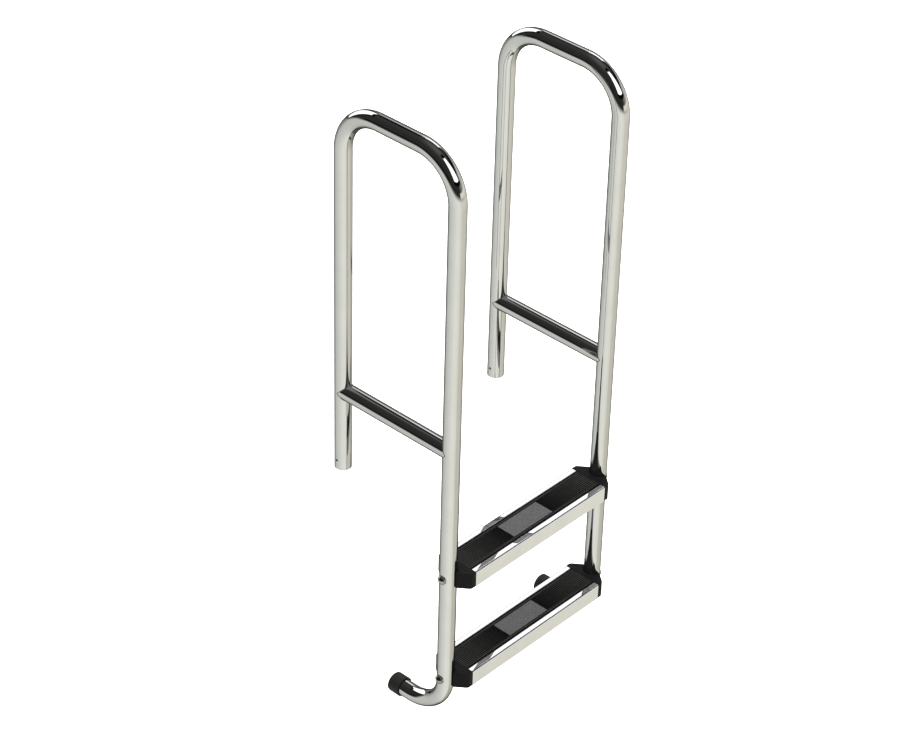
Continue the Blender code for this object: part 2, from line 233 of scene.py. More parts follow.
def rounded_corner(before, corner, after, radius):
    """The arc of the given radius that replaces a corner of an outline."""
    arriving = (before - corner).normalized()
    leaving = (after - corner).normalized()
    half_angle = arriving.angle(leaving) / 2
    center = corner + (arriving + leaving).normalized() * radius / math.sin(half_angle)
    first = corner + arriving * radius / math.tan(half_angle) - center
    last = corner + leaving * radius / math.tan(half_angle) - center
    turn = first.angle(last)
    points = []
    for step in range(CORNER_STEPS + 1):
        share = step / CORNER_STEPS
        blend = first * math.sin((1 - share) * turn) + last * math.sin(share * turn)
        points.append(center + blend / math.sin(turn))
    return points


def rounded(corners, closed=True):
    """An outline of (x, y, radius) corners, each rounded by its radius or left sharp at 0."""
    points = []
    count = len(corners)
    for index, (x, y, radius) in enumerate(corners):
        corner = Vector((x, y))
        open_end = not closed and index in (0, count - 1)
        if radius > 0 and not open_end:
            before = Vector(corners[index - 1][:2])
            after = Vector(corners[(index + 1) % count][:2])
            points += rounded_corner(before, corner, after, radius)
        else:
            points.append(corner)
    return points


def offset(points, distance, closed=True):
    """The outline moved to its left by a distance, seen along the order of its points."""
    moved = []
    count = len(points)
    for index, point in enumerate(points):
        before = points[index - 1] if closed or index > 0 else None
        after = points[(index + 1) % count] if closed or index < count - 1 else None
        arriving = (point - before).normalized() if before is not None else (after - point).normalized()
        leaving = (after - point).normalized() if after is not None else arriving
        direction = (arriving + leaving).normalized()
        stretch = 1 / max(direction.dot(arriving), SHARPEST_MITRE)
        moved.append(point + Vector((-direction.y, direction.x)) * distance * stretch)
    return moved


def with_modifiers(mesh, add_modifiers):
    """The mesh as it comes out of the modifiers which a function adds to its object."""
    name = mesh.name
    body = bpy.data.objects.new("body", mesh)
    bpy.context.scene.collection.objects.link(body)
    add_modifiers(body)
    evaluated = body.evaluated_get(bpy.context.evaluated_depsgraph_get())
    result = bpy.data.meshes.new_from_object(evaluated)
    bpy.data.objects.remove(body, do_unlink=True)
    bpy.data.meshes.remove(mesh)
    result.name = name
    return result


def solid_with(mesh, *cuts):
    """The mesh after boolean cuts, each an (operation, mesh) pair."""
    tools = []

    def add_booleans(body):
        for operation, tool_mesh in cuts:
            tool = bpy.data.objects.new(tool_mesh.name, tool_mesh)
            bpy.context.scene.collection.objects.link(tool)
            tools.append(tool)
            modifier = body.modifiers.new(tool.name, "BOOLEAN")
            modifier.object = tool
            modifier.operation = operation
            modifier.solver = "EXACT"

    result = with_modifiers(mesh, add_booleans)
    for tool in tools:
        bpy.data.objects.remove(tool, do_unlink=True)
    result.shade_smooth()
    result.set_sharp_from_angle(angle=SHARP_ANGLE)
    return result


def with_flat_faces(mesh):
    """The mesh with normals weighted by area, so that flat faces stay flat between rounded edges."""
    def add_weighting(body):
        modifier = body.modifiers.new("weighting", "WEIGHTED_NORMAL")
        modifier.keep_sharp = True

    return with_modifiers(mesh, add_weighting)


def box_cutter(name, low, high):
    bm = bmesh.new()
    bmesh.ops.create_cube(bm, size=1.0)
    center = (Vector(low) + Vector(high)) / 2
    spread = Vector(high) - Vector(low)
    bmesh.ops.scale(bm, verts=bm.verts, vec=spread)
    bmesh.ops.translate(bm, verts=bm.verts, vec=center)
    return finished_mesh(bm, name)


def cross_hole_cutter(name, radius, place, length):
    """A cylinder along X, to cut a round hole."""
    bm = bmesh.new()
    bmesh.ops.create_cone(bm, cap_ends=True, segments=HOLE_SEGMENTS, radius1=radius, radius2=radius,
                          depth=length)
    turn = Matrix.Translation(place) @ Matrix.Rotation(math.pi / 2, 4, "Y")
    bmesh.ops.transform(bm, matrix=turn, verts=bm.verts)
    for face in bm.faces:
        face.material_index = 1
    return finished_mesh(bm, name)


def add_piece(mesh, material, nodes, place=(0, 0, 0), turn=(0, 0, 0)):
    mesh.transform(Matrix.Translation(place) @ Euler(turn).to_matrix().to_4x4())
    if not mesh.has_custom_normals:
        mesh = with_flat_faces(mesh)
    if not mesh.materials:
        mesh.materials.append(material)
    piece = bpy.data.objects.new(mesh.name, mesh)
    bpy.context.scene.collection.objects.link(piece)
    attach(piece, "root")
    if nodes:
        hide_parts(*nodes)
    return piece


# Shader nodes --------------------------------------------------------------------------------

class Value:
    """A shader node's number, on which ordinary arithmetic adds more nodes."""

    def __init__(self, tree, socket):
        self.tree = tree
        self.socket = socket

    def operate(self, operation, *others):
        node = self.tree.nodes.new("ShaderNodeMath")
        node.operation = operation
        for socket, value in zip(node.inputs, (self, *others)):
            if isinstance(value, Value):
                self.tree.links.new(value.socket, socket)
            else:
                socket.default_value = value
        return Value(self.tree, node.outputs[0])

    def __add__(self, other):
        return self.operate("ADD", other)

    def __sub__(self, other):
        return self.operate("SUBTRACT", other)

    def __mul__(self, other):
        return self.operate("MULTIPLY", other)

    def remap(self, from_low, from_high, to_low=0.0, to_high=1.0, kind="SMOOTHSTEP"):
        node = self.tree.nodes.new("ShaderNodeMapRange")
        node.interpolation_type = kind
        self.tree.links.new(self.socket, node.inputs["Value"])
        for name, value in zip(("From Min", "From Max", "To Min", "To Max"),
                               (from_low, from_high, to_low, to_high)):
            node.inputs[name].default_value = value
        return Value(self.tree, node.outputs["Result"])


def mix(tree, share, first, second):
    """A blend of two colours, each a linear colour or another blend, by a Value from 0 to 1."""
    node = tree.nodes.new("ShaderNodeMix")
    node.data_type = "RGBA"
    tree.links.new(share.socket, node.inputs["Factor"])
    for socket, color in zip((node.inputs[6], node.inputs[7]), (first, second)):
        if isinstance(color, Value):
            tree.links.new(color.socket, socket)
        else:
            socket.default_value = (*color, 1.0)
    return Value(tree, node.outputs[2])


def ramp(tree, share, stops):
    """A colour that runs through (position, colour) stops."""
    node = tree.nodes.new("ShaderNodeValToRGB")
    tree.links.new(share.socket, node.inputs["Fac"])
    elements = node.color_ramp.elements
    while len(elements) < len(stops):
        elements.new(0.5)
    for element, (position, color) in zip(elements, stops):
        element.position = position
        element.color = (*color, 1.0)
    return Value(tree, node.outputs["Color"])


def object_point(tree, stretch=(1, 1, 1)):
    coordinates = tree.nodes.new("ShaderNodeTexCoord")
    mapping = tree.nodes.new("ShaderNodeMapping")
    mapping.inputs["Scale"].default_value = stretch
    tree.links.new(coordinates.outputs["Object"], mapping.inputs["Vector"])
    return mapping.outputs["Vector"]


def noise_value(tree, point, scale, detail):
    node = tree.nodes.new("ShaderNodeTexNoise")
    node.inputs["Scale"].default_value = scale
    node.inputs["Detail"].default_value = detail
    tree.links.new(point, node.inputs["Vector"])
    return Value(tree, node.outputs["Fac"])


def grains_value(tree, point, scale):
    """Distance from the middle of the nearest grain, 0 at the middle."""
    node = tree.nodes.new("ShaderNodeTexVoronoi")
    node.inputs["Scale"].default_value = scale
    tree.links.new(point, node.inputs["Vector"])
    return Value(tree, node.outputs["Distance"])


def new_material(name, metallic, **fixed):
    """A material, its node tree and its Principled shader, with the evenly set sockets filled in."""
    material = bpy.data.materials.new(name)
    material.use_nodes = True
    tree = material.node_tree
    shader = tree.nodes["Principled BSDF"]
    shader.inputs["Metallic"].default_value = metallic
    for key, value in fixed.items():
        shader.inputs[key.replace("_", " ")].default_value = value
    return material, tree, shader


def bump(tree, shader, height, distance):
    node = tree.nodes.new("ShaderNodeBump")
    node.inputs["Distance"].default_value = distance
    tree.links.new(height.socket, node.inputs["Height"])
    tree.links.new(node.outputs["Normal"], shader.inputs["Normal"])


# Materials -----------------------------------------------------------------------------------

def steel_material(name, dark, light, smooth_roughness, rough_roughness, brushing, edge_tint):
    """Polished metal: faint clouding, fine polishing lines, and a slightly uneven gloss."""
    tint = (edge_tint, edge_tint, edge_tint, 1.0)
    material, tree, shader = new_material(name, metallic=1.0, Specular_Tint=tint)
    cloud = noise_value(tree, object_point(tree), scale=18, detail=3)
    lines = noise_value(tree, object_point(tree, brushing), scale=260, detail=4)
    tree.links.new(mix(tree, cloud.remap(0.35, 0.65), dark, light).socket, shader.inputs["Base Color"])
    roughness = lines.remap(0.3, 0.7, smooth_roughness, rough_roughness)
    tree.links.new(roughness.socket, shader.inputs["Roughness"])
    bump(tree, shader, lines, POLISH_DEPTH)
    return material


def plastic_material(name, dark, light, roughness, specular, grain_scale, grain_depth):
    """Moulded plastic or rubber with an eroded grain and a little unevenness in tone."""
    material, tree, shader = new_material(name, metallic=0.0, Specular_IOR_Level=specular)
    point = object_point(tree)
    cloud = noise_value(tree, point, scale=40, detail=4)
    grain = grains_value(tree, point, grain_scale)
    grain += noise_value(tree, point, scale=grain_scale * 0.6, detail=3)
    tree.links.new(mix(tree, cloud.remap(0.3, 0.7), dark, light).socket, shader.inputs["Base Color"])
    gloss = noise_value(tree, point, scale=120, detail=3)
    gloss = gloss.remap(0.3, 0.7, roughness - 0.04, roughness + 0.05)
    tree.links.new(gloss.socket, shader.inputs["Roughness"])
    bump(tree, shader, grain, grain_depth)
    return material


def ribbed_rubber_material():
    """Rubber whose rib tops keep the rubber's own tone, with painted shade: the grooves and every face
    below the rib tops are coloured nearly black.
    """
    material, tree, shader = new_material("insert_rubber", metallic=0.0, Specular_IOR_Level=0.12)
    point = object_point(tree)
    unshaded_rib_top = tree.nodes.new("ShaderNodeAttribute")
    unshaded_rib_top.attribute_name = "unshaded_rib_top"
    top = Value(tree, unshaded_rib_top.outputs["Fac"])
    cloud = noise_value(tree, point, scale=60, detail=4).remap(0.3, 0.7)
    rib_top_tone = mix(tree, cloud, (0.031, 0.031, 0.0288), (0.042, 0.042, 0.039))
    # Painted shade: away from the rib tops the colour is nearly black, standing in for shade in the
    # grooves.
    tree.links.new(mix(tree, top, (0.0003, 0.0003, 0.0003), rib_top_tone).socket, shader.inputs["Base Color"])
    tree.links.new(cloud.remap(0, 1, 0.5, 0.6).socket, shader.inputs["Roughness"])
    bump(tree, shader, grains_value(tree, point, scale=1500), distance=0.00001)
    return material


def grit_material():
    """Bonded mineral grit: pale and dark grains side by side."""
    material, tree, shader = new_material("grit", metallic=0.0, Specular_IOR_Level=0.4)
    point = object_point(tree)
    grains = noise_value(tree, point, scale=1300, detail=2)
    patches = noise_value(tree, point, scale=260, detail=3)
    tone = (grains * 0.7 + patches * 0.3).remap(0.35, 0.65)
    tree.links.new(mix(tree, tone, (0.043, 0.043, 0.043), (0.138, 0.138, 0.138)).socket,
                   shader.inputs["Base Color"])
    tree.links.new(grains.remap(0.3, 0.7, 0.95, 0.75).socket, shader.inputs["Roughness"])
    bump(tree, shader, grains, distance=0.0002)
    return material


# The rails -----------------------------------------------------------------------------------

def rail_stretches():
    """The rail's centre line in the YZ plane, as straight and bent stretches.

    Each is a length, a number of steps, and a function from a distance along it to a point and a
    direction. Every bend is a quarter turn.
    """
    corners = [Vector(pair) for pair in ((0, 0), (0, TOP_Z), (FRONT_Y, TOP_Z), (FRONT_Y, FOOT_Z),
                                         (FOOT_END_Y, FOOT_Z))]
    stretches = []
    start = corners[0]
    for index in range(1, len(corners)):
        corner = corners[index]
        direction = (corner - start).normalized()
        last = index == len(corners) - 1
        end = corner if last else corner - direction * BEND_RADIUS
        length = (end - start).length
        straight = lambda s, p=start, d=direction: (p + d * s, d)
        stretches.append((length, math.ceil(length / STRAIGHT_STEP), straight))
        if last:
            break
        onward = (corners[index + 1] - corner).normalized()
        center = end + onward * BEND_RADIUS

        def bend(s, c=center, d=direction, o=onward):
            turn = s / BEND_RADIUS
            return (c + (d * math.sin(turn) - o * math.cos(turn)) * BEND_RADIUS,
                    d * math.cos(turn) + o * math.sin(turn))

        stretches.append((BEND_RADIUS * math.pi / 2, BEND_STEPS, bend))
        start = corner + onward * BEND_RADIUS
    return stretches


def place_on(stretches, distance):
    for length, _, place in stretches[:-1]:
        if distance <= length:
            return place(distance)
        distance -= length
    return stretches[-1][2](distance)


def wall_outline(stretches):
    """(distance, radius) round a tube's wall, with both its ends rounded."""
    distances = [0.0]
    for length, steps, _ in stretches:
        distances += [distances[-1] + length * step / steps for step in range(1, steps + 1)]
    total = distances[-1]
    inside = distances[1:-1]
    inner = TUBE_RADIUS - TUBE_WALL
    outline = arc((TUBE_EDGE, TUBE_RADIUS - TUBE_EDGE), TUBE_EDGE, 180, 90, TUBE_EDGE_STEPS)
    outline += [(distance, TUBE_RADIUS) for distance in inside]
    outline += arc((total - TUBE_EDGE, TUBE_RADIUS - TUBE_EDGE), TUBE_EDGE, 90, 0, TUBE_EDGE_STEPS)
    outline += arc((total - TUBE_EDGE, inner + TUBE_EDGE), TUBE_EDGE, 0, -90, TUBE_EDGE_STEPS)
    outline += [(distance, inner) for distance in reversed(inside)]
    outline += arc((TUBE_EDGE, inner + TUBE_EDGE), TUBE_EDGE, -90, -180, TUBE_EDGE_STEPS)
    return outline


def rail_mesh(name, x):
    """A bent tube with its wall, as one closed skin that keeps exact normals on its round sides."""
    stretches = rail_stretches()
    rings = []
    radials = {}
    inside = set()
    count = 0
    for distance, radius in wall_outline(stretches):
        (y, z), (along_y, along_z) = place_on(stretches, distance)
        facing = 0
        if abs(radius - TUBE_RADIUS) < SAME_RADIUS:
            facing = 1
        elif abs(radius - (TUBE_RADIUS - TUBE_WALL)) < SAME_RADIUS:
            facing = -1
        ring = []
        for step in range(TUBE_SEGMENTS):
            turn = math.tau * step / TUBE_SEGMENTS
            radial = Vector((math.cos(turn), -along_z * math.sin(turn), along_y * math.sin(turn)))
            ring.append(Vector((x, y, z)) + radial * radius)
            radials[count] = radial * facing
            if facing < 0:
                inside.add(count)
            count += 1
        rings.append(ring)
    mesh = loft(name, rings, ring_loop=True)
    skin = mesh.attributes.new("skin_normal", "FLOAT_VECTOR", "CORNER")
    for loop in mesh.loops:
        skin.data[loop.index].vector = radials[loop.vertex_index]
    for polygon in mesh.polygons:
        polygon.material_index = 1 if all(index in inside for index in polygon.vertices) else 0
    return mesh


def use_skin_normals(mesh):
    """Custom normals from the skin_normal attribute, which is a unit vector, or zero off the skin."""
    skin = mesh.attributes["skin_normal"]
    normals = []
    for index, corner in enumerate(mesh.corner_normals):
        exact = Vector(skin.data[index].vector)
        normals.append(exact.normalized() if exact.length > 0.5 else Vector(corner.vector))
    mesh.attributes.remove(skin)
    mesh.normals_split_custom_set(normals)


def make_rail(side, sign, material, inside):
    x = sign * RAIL_X
    holes = [("DIFFERENCE", cross_hole_cutter("fixing_hole", FIXING_HOLE_RADIUS,
                                              (x, 0, FIXING_HOLE_HEIGHT), CROSS_CUT))]
    for level in LEVELS:
        bolt = middle(level + "_" + side + "_washer")
        holes.append(("DIFFERENCE", cross_hole_cutter(level + "_bore", BOLT_RADIUS + CLEARANCE,
                                                      (x, FRONT_Y, bolt.z), CROSS_CUT)))
    mesh = rail_mesh(side + "_rail", x)
    # The second material, on the tube's inner wall, is coloured dark as painted shade.
    for surface in (material, inside):
        mesh.materials.append(surface)
    mesh = solid_with(mesh, *holes)
    use_skin_normals(mesh)
    add_piece(mesh, material, [side + "_rail_tube"])


def cope(radius, turn, leg_radius):
    """How far from a leg's axis the brace's skin meets the leg, at a turn about the brace."""
    across = radius * math.cos(turn)
    return math.sqrt(max(leg_radius ** 2 - across ** 2, 0.0))


def make_brace(side, sign, material, weld_material):
    """The cross tube, coped to both legs and welded on all round."""
    x = sign * RAIL_X
    rings = []
    for radius, order in ((TUBE_RADIUS, range(BRACE_STEPS + 1)),
                          (TUBE_RADIUS - TUBE_WALL, range(BRACE_STEPS, -1, -1))):
        for step in order:
            share = step / BRACE_STEPS
            ring = []
            for index in range(TUBE_SEGMENTS):
                turn = math.tau * index / TUBE_SEGMENTS
                reach = cope(radius, turn, TUBE_RADIUS - BRACE_EMBED)
                y = -reach * (1 - share) + (FRONT_Y + reach) * share
                ring.append((x + radius * math.cos(turn), y, BRACE_Z + radius * math.sin(turn)))
            rings.append(ring)
    add_piece(loft(side + "_brace", rings, ring_loop=True), material,
              [side + "_cross_brace"])
    for leg, leg_y, inward in (("deck_leg", 0.0, -1), ("front_leg", FRONT_Y, 1)):
        bead = weld_mesh(side + "_" + leg + "_weld", x, leg_y, inward)
        add_piece(bead, weld_material, [])


def weld_mesh(name, x, leg_y, inward):
    """A thin bead along the line where the brace meets a leg."""
    count = 2 * TUBE_SEGMENTS
    line = []
    for index in range(count):
        turn = math.tau * index / count
        reach = cope(TUBE_RADIUS, turn, TUBE_RADIUS)
        line.append(Vector((x + TUBE_RADIUS * math.cos(turn), leg_y + inward * reach,
                            BRACE_Z + TUBE_RADIUS * math.sin(turn))))
    rings = []
    for index, point in enumerate(line):
        turn = math.tau * index / count
        along = (line[(index + 1) % count] - line[index - 1]).normalized()
        outward = Vector((math.cos(turn), 0, math.sin(turn)))
        outward = (outward - along * outward.dot(along)).normalized()
        aside = along.cross(outward)
        ring = []
        for step in range(WELD_SEGMENTS):
            angle = math.tau * step / WELD_SEGMENTS
            ring.append(point + (outward * math.cos(angle) + aside * math.sin(angle)) * WELD_RADIUS)
        rings.append(ring)
    return loft(name, rings, ring_loop=True)


def make_bumper(side, sign, material):
    """A slip-on rubber cap for the end of the J-bend, with a rounded face and a soft mouth."""
    outer = size("left_bumper_cap").x / 2
    length = BUMPER_HIGH.y - BUMPER_LOW.y
    inner = TUBE_RADIUS + SNUG
    edge = BUMPER_MOUTH_EDGE
    profile = [(0.0, length), (outer * BUMPER_FACE_SHARE, length), (outer - BUMPER_EDGE, length)]
    profile += arc((outer - BUMPER_EDGE, length - BUMPER_EDGE), BUMPER_EDGE, 90, 0,
                   BUMPER_EDGE_STEPS)
    profile += arc((outer - edge, edge), edge, 0, -90, SMALL_EDGE_STEPS)
    profile += [(inner + edge, 0.0), (inner, edge), (inner, length - BUMPER_END_THICKNESS),
                (0.0, length - BUMPER_END_THICKNESS)]
    add_piece(lathe(side + "_bumper", profile), material, [side + "_bumper_cap"],
              place=(sign * RAIL_X, BUMPER_LOW.y, FOOT_Z), turn=(-math.pi / 2, 0, 0))


# The treads ----------------------------------------------------------------------------------

def extruded(name, outline, x_from, x_to, y, z):
    """A closed (y, z) outline drawn out along X."""
    return loft(name, [[(x, y + a, z + b) for a, b in outline] for x in (x_from, x_to)])


def make_channel(level, material):
    """The tread's bent sheet, with rounded bends, a sunk middle and two down-turned sides."""
    low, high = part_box(level + "_tread_channel")
    side = (high.y - low.y) / 2
    height = high.z - low.z
    lip = RECESS_WIDTH / 2
    skin = rounded([(-side, -height, 0), (-side, 0, SHEET_BEND), (-lip, 0, RECESS_BEND),
                    (-lip, -RECESS_DEPTH, RECESS_FLOOR_BEND), (lip, -RECESS_DEPTH, RECESS_FLOOR_BEND),
                    (lip, 0, RECESS_BEND), (side, 0, SHEET_BEND), (side, -height, 0)], closed=False)
    back = offset(skin, -SHEET, closed=False)
    count = len(skin)
    bm = bmesh.new()
    rows = []
    for x in (low.x, high.x):
        outline = skin + list(reversed(back))
        rows.append([bm.verts.new((x, FRONT_Y + a, high.z + b)) for a, b in outline])
    total = 2 * count
    for index in range(total):
        after = (index + 1) % total
        bm.faces.new((rows[0][index], rows[0][after], rows[1][after], rows[1][index]))
    for row in rows:
        for index in range(count - 1):
            bm.faces.new((row[index], row[index + 1], row[total - 2 - index], row[total - 1 - index]))
    add_piece(finished_mesh(bm, level + "_channel"), material,
              [level + "_tread_channel"])


def insert_outline(half, thickness):
    root = thickness - RIB_HEIGHT
    corners = [(-half, 0, INSERT_EDGE), (half, 0, INSERT_EDGE), (half, root, INSERT_EDGE)]
    for index in reversed(range(RIB_COUNT)):
        center = (index - (RIB_COUNT - 1) / 2) * RIB_PITCH
        corners += [(center + RIB_BASE_WIDTH / 2, root, RIB_ROUNDING / 2),
                    (center + RIB_TOP_WIDTH / 2, thickness, RIB_ROUNDING),
                    (center - RIB_TOP_WIDTH / 2, thickness, RIB_ROUNDING),
                    (center - RIB_BASE_WIDTH / 2, root, RIB_ROUNDING / 2)]
    corners.append((-half, root, INSERT_EDGE))
    return rounded(corners)


def make_insert(level, material):
    low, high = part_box(level + "_tread_insert")
    pad_low, pad_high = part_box(level + "_grip_pad")
    half = (high.y - low.y) / 2
    outline = insert_outline(half, high.z - low.z)
    mesh = extruded(level + "_ribbed_insert", outline, low.x, high.x, FRONT_Y, low.z)
    # Marks the rib tops; the material paints everything below them nearly black as shade in the
    # grooves.
    unshaded_rib_top = mesh.attributes.new("unshaded_rib_top", "FLOAT", "POINT")
    for vertex in mesh.vertices:
        unshaded_rib_top.data[vertex.index].value = 1.0 if vertex.co.z > high.z - UNSHADED_RIB_TOP_DEPTH else 0.0
    gap = Vector((CLEARANCE, CLEARANCE, CLEARANCE))
    opening = Vector((pad_high.x, pad_high.y, high.z + CUT_BEYOND)) + gap
    pocket = box_cutter(level + "_pocket", pad_low - gap, opening)
    mesh = solid_with(mesh, ("DIFFERENCE", pocket))
    add_piece(mesh, material, [level + "_tread_insert"])


def make_pad(level, material):
    """A sheet of bonded grit, with the grains standing up from its top."""
    low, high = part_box(level + "_grip_pad")
    columns = round((high.x - low.x) / GRIT_SPACING)
    rows = round((high.y - low.y) / GRIT_SPACING)
    top = high.z - GRIT_HEIGHT
    bm = bmesh.new()
    grid = []
    for row in range(rows + 1):
        line = []
        for column in range(columns + 1):
            x = low.x + (high.x - low.x) * column / columns
            y = low.y + (high.y - low.y) * row / rows
            inside = 0 < row < rows and 0 < column < columns
            grain = noise.noise(Vector((x, y, high.z)) * GRIT_FINENESS) if inside else GRIT_HOLLOW
            line.append(bm.verts.new((x, y, top + GRIT_HEIGHT * max(grain, GRIT_HOLLOW))))
        grid.append(line)
    for row in range(rows):
        for column in range(columns):
            bm.faces.new((grid[row][column], grid[row][column + 1],
                          grid[row + 1][column + 1], grid[row + 1][column]))
    rim = grid[0] + [line[-1] for line in grid[1:]]
    rim += grid[-1][-2::-1] + [line[0] for line in grid[-2:0:-1]]
    base = [bm.verts.new((vert.co.x, vert.co.y, low.z)) for vert in rim]
    for index in range(len(rim)):
        after = (index + 1) % len(rim)
        bm.faces.new((rim[index], rim[after], base[after], base[index]))
    bm.faces.new(base)
    add_piece(finished_mesh(bm, level + "_grit_pad"), material, [level + "_grip_pad"])


# The end caps --------------------------------------------------------------------------------

def cap_outline(side, length):
    """Plan of an end cap about the front leg's axis, with X towards the tread."""
    saddle = TUBE_RADIUS + CLEARANCE
    tip_y = math.sqrt(saddle ** 2 - CAP_EAR_START ** 2)
    edge = CAP_EDGE + OUTLINE_ROOM
    tip_degrees = math.degrees(math.atan2(tip_y, CAP_EAR_START))
    saddle_points = arc((0, 0), saddle, tip_degrees, -tip_degrees, CAP_SADDLE_STEPS)
    corners = [(length, -side, edge), (length, side, edge),
               (CAP_CORNER_REACH, side, CAP_CORNER_RADIUS),
               (CAP_EAR_START, CAP_EAR_HALF_WIDTH, edge)]
    corners += [(x, y, edge if index in (0, CAP_SADDLE_STEPS) else 0)
                for index, (x, y) in enumerate(saddle_points)]
    corners += [(CAP_EAR_START, -CAP_EAR_HALF_WIDTH, edge),
                (CAP_CORNER_REACH, -side, CAP_CORNER_RADIUS)]
    return rounded(corners)


def cap_body(name, outline, bottom, top):
    """The outline drawn up from bottom to top, with its upper and lower edges rounded."""
    rings = []
    for base, up in ((bottom, 1), (top, -1)):
        part = []
        for step in range(CORNER_STEPS + 1):
            angle = math.pi / 2 * step / CORNER_STEPS
            inset = CAP_EDGE * (1 - math.sin(angle))
            height = base + up * CAP_EDGE * (1 - math.cos(angle))
            part.append([(x, y, height) for x, y in offset(outline, inset)])
        rings += part if up > 0 else list(reversed(part))
    return loft(name, rings)


def make_cap(level, side, sign, material):
    """A moulded end cap: solid saddle end, hollow below, and a plug that slides into the tread."""
    node = level + "_" + side + "_tread_cap"
    low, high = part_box(node)
    channel_low, channel_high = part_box(level + "_tread_channel")
    washer = middle(level + "_" + side + "_washer")
    half_depth = (channel_high.y - channel_low.y) / 2
    length = RAIL_X - channel_high.x - CLEARANCE
    body = cap_body(level + "_" + side + "_cap", cap_outline(half_depth, length), low.z, high.z)
    reach = max(abs(low.x), abs(high.x)) - min(abs(low.x), abs(high.x)) + CAP_EAR_START

    plug_half = half_depth - SHEET - CLEARANCE
    plug_top = channel_high.z - RECESS_DEPTH - SHEET - CLEARANCE
    plug = box_cutter("plug", (length - PLUG_OVERLAP, -plug_half, channel_low.z + PLUG_DROP),
                      (reach, plug_half, plug_top))
    hollow = box_cutter("hollow", (CAP_WEB_END, CAP_WALL - plug_half, low.z - CUT_BEYOND),
                        (reach + CUT_BEYOND, plug_half - CAP_WALL, plug_top - CAP_WALL))
    bore = cross_hole_cutter("bore", BOLT_RADIUS + CLEARANCE, (CAP_BORE_MIDDLE, 0, washer.z),
                             CAP_CROSS_CUT)
    mesh = solid_with(body, ("UNION", plug), ("DIFFERENCE", hollow), ("DIFFERENCE", bore))
    add_piece(mesh, material, [node], place=(sign * RAIL_X, FRONT_Y, 0),
              turn=(0, 0, 0) if sign < 0 else (0, 0, math.pi))


# The fasteners -------------------------------------------------------------------------------

def bolt_profile(length):
    """Domed head above z = 0, and below it a shank that ends in a thread."""
    dome_radius = (BOLT_HEAD_RADIUS ** 2 + BOLT_HEAD_HEIGHT ** 2) / (2 * BOLT_HEAD_HEIGHT)
    rim_degrees = math.degrees(math.acos(BOLT_HEAD_RADIUS / dome_radius))
    dome_center = (0.0, BOLT_HEAD_HEIGHT - dome_radius)
    profile = arc(dome_center, dome_radius, 90, rim_degrees + DOME_RIM_DEGREES, DOME_STEPS)
    profile += [(BOLT_HEAD_RADIUS, BOLT_RIM), (BOLT_HEAD_RADIUS - BOLT_RIM, 0.0), (BOLT_RADIUS, 0.0)]
    thread_start = -length + THREAD_LENGTH
    profile.append((BOLT_RADIUS, thread_start))
    turns = int((THREAD_LENGTH - BOLT_TIP_CHAMFER) / THREAD_PITCH)
    for index in range(turns):
        start = thread_start - index * THREAD_PITCH
        profile += [(BOLT_RADIUS - depth, start - share * THREAD_PITCH) for share, depth in THREAD_FORM]
    profile += [(BOLT_RADIUS - BOLT_TIP_CHAMFER, -length), (0.0, -length)]
    return profile


def washer_mesh(name, bore, radius, rise):
    """A saddle washer about Z: a flat face at z = rise, and an underside that follows the tube."""
    def seat(r, turn):
        across = r * math.sin(turn)
        return math.sqrt((TUBE_RADIUS + SNUG) ** 2 - across ** 2) - TUBE_RADIUS

    edge = WASHER_EDGE
    top = [(bore, rise), (radius - edge, rise)]
    top += arc((radius - edge, rise - edge), edge, 90, 0, SMALL_EDGE_STEPS)[1:]
    underside = [radius - (radius - bore) * step / WASHER_STEPS for step in range(WASHER_STEPS + 1)]
    rings = [turned_ring(r, z) for r, z in top]
    for r in underside:
        ring = []
        for i in range(LATHE_SEGMENTS):
            turn = math.tau * i / LATHE_SEGMENTS
            ring.append((r * math.cos(turn), r * math.sin(turn), seat(r, turn)))
        rings.append(ring)
    return loft(name, rings, ring_loop=True)


def nut_mesh(name, across_flats, thickness, bore):
    """A hexagon nut with its corners chamfered at both ends."""
    corner = across_flats / math.sqrt(3)
    face = across_flats / 2 * NUT_FACE_SHARE
    levels = [(0.0, face), (NUT_CHAMFER, corner), (thickness - NUT_CHAMFER, corner), (thickness, face)]
    rings = []
    for height, limit in levels:
        ring = []
        for index in range(LATHE_SEGMENTS):
            turn = math.tau * index / LATHE_SEGMENTS
            flat = (turn + math.pi / 6) % (math.pi / 3) - math.pi / 6
            radius = min(across_flats / 2 / math.cos(flat), limit)
            ring.append((radius * math.cos(turn), radius * math.sin(turn), height))
        rings.append(ring)
    mouth = bore + NUT_BORE_CHAMFER
    rings += [turned_ring(mouth, thickness), turned_ring(bore, thickness - NUT_BORE_CHAMFER),
              turned_ring(bore, NUT_BORE_CHAMFER), turned_ring(mouth, 0.0)]
    return loft(name, rings, ring_loop=True)


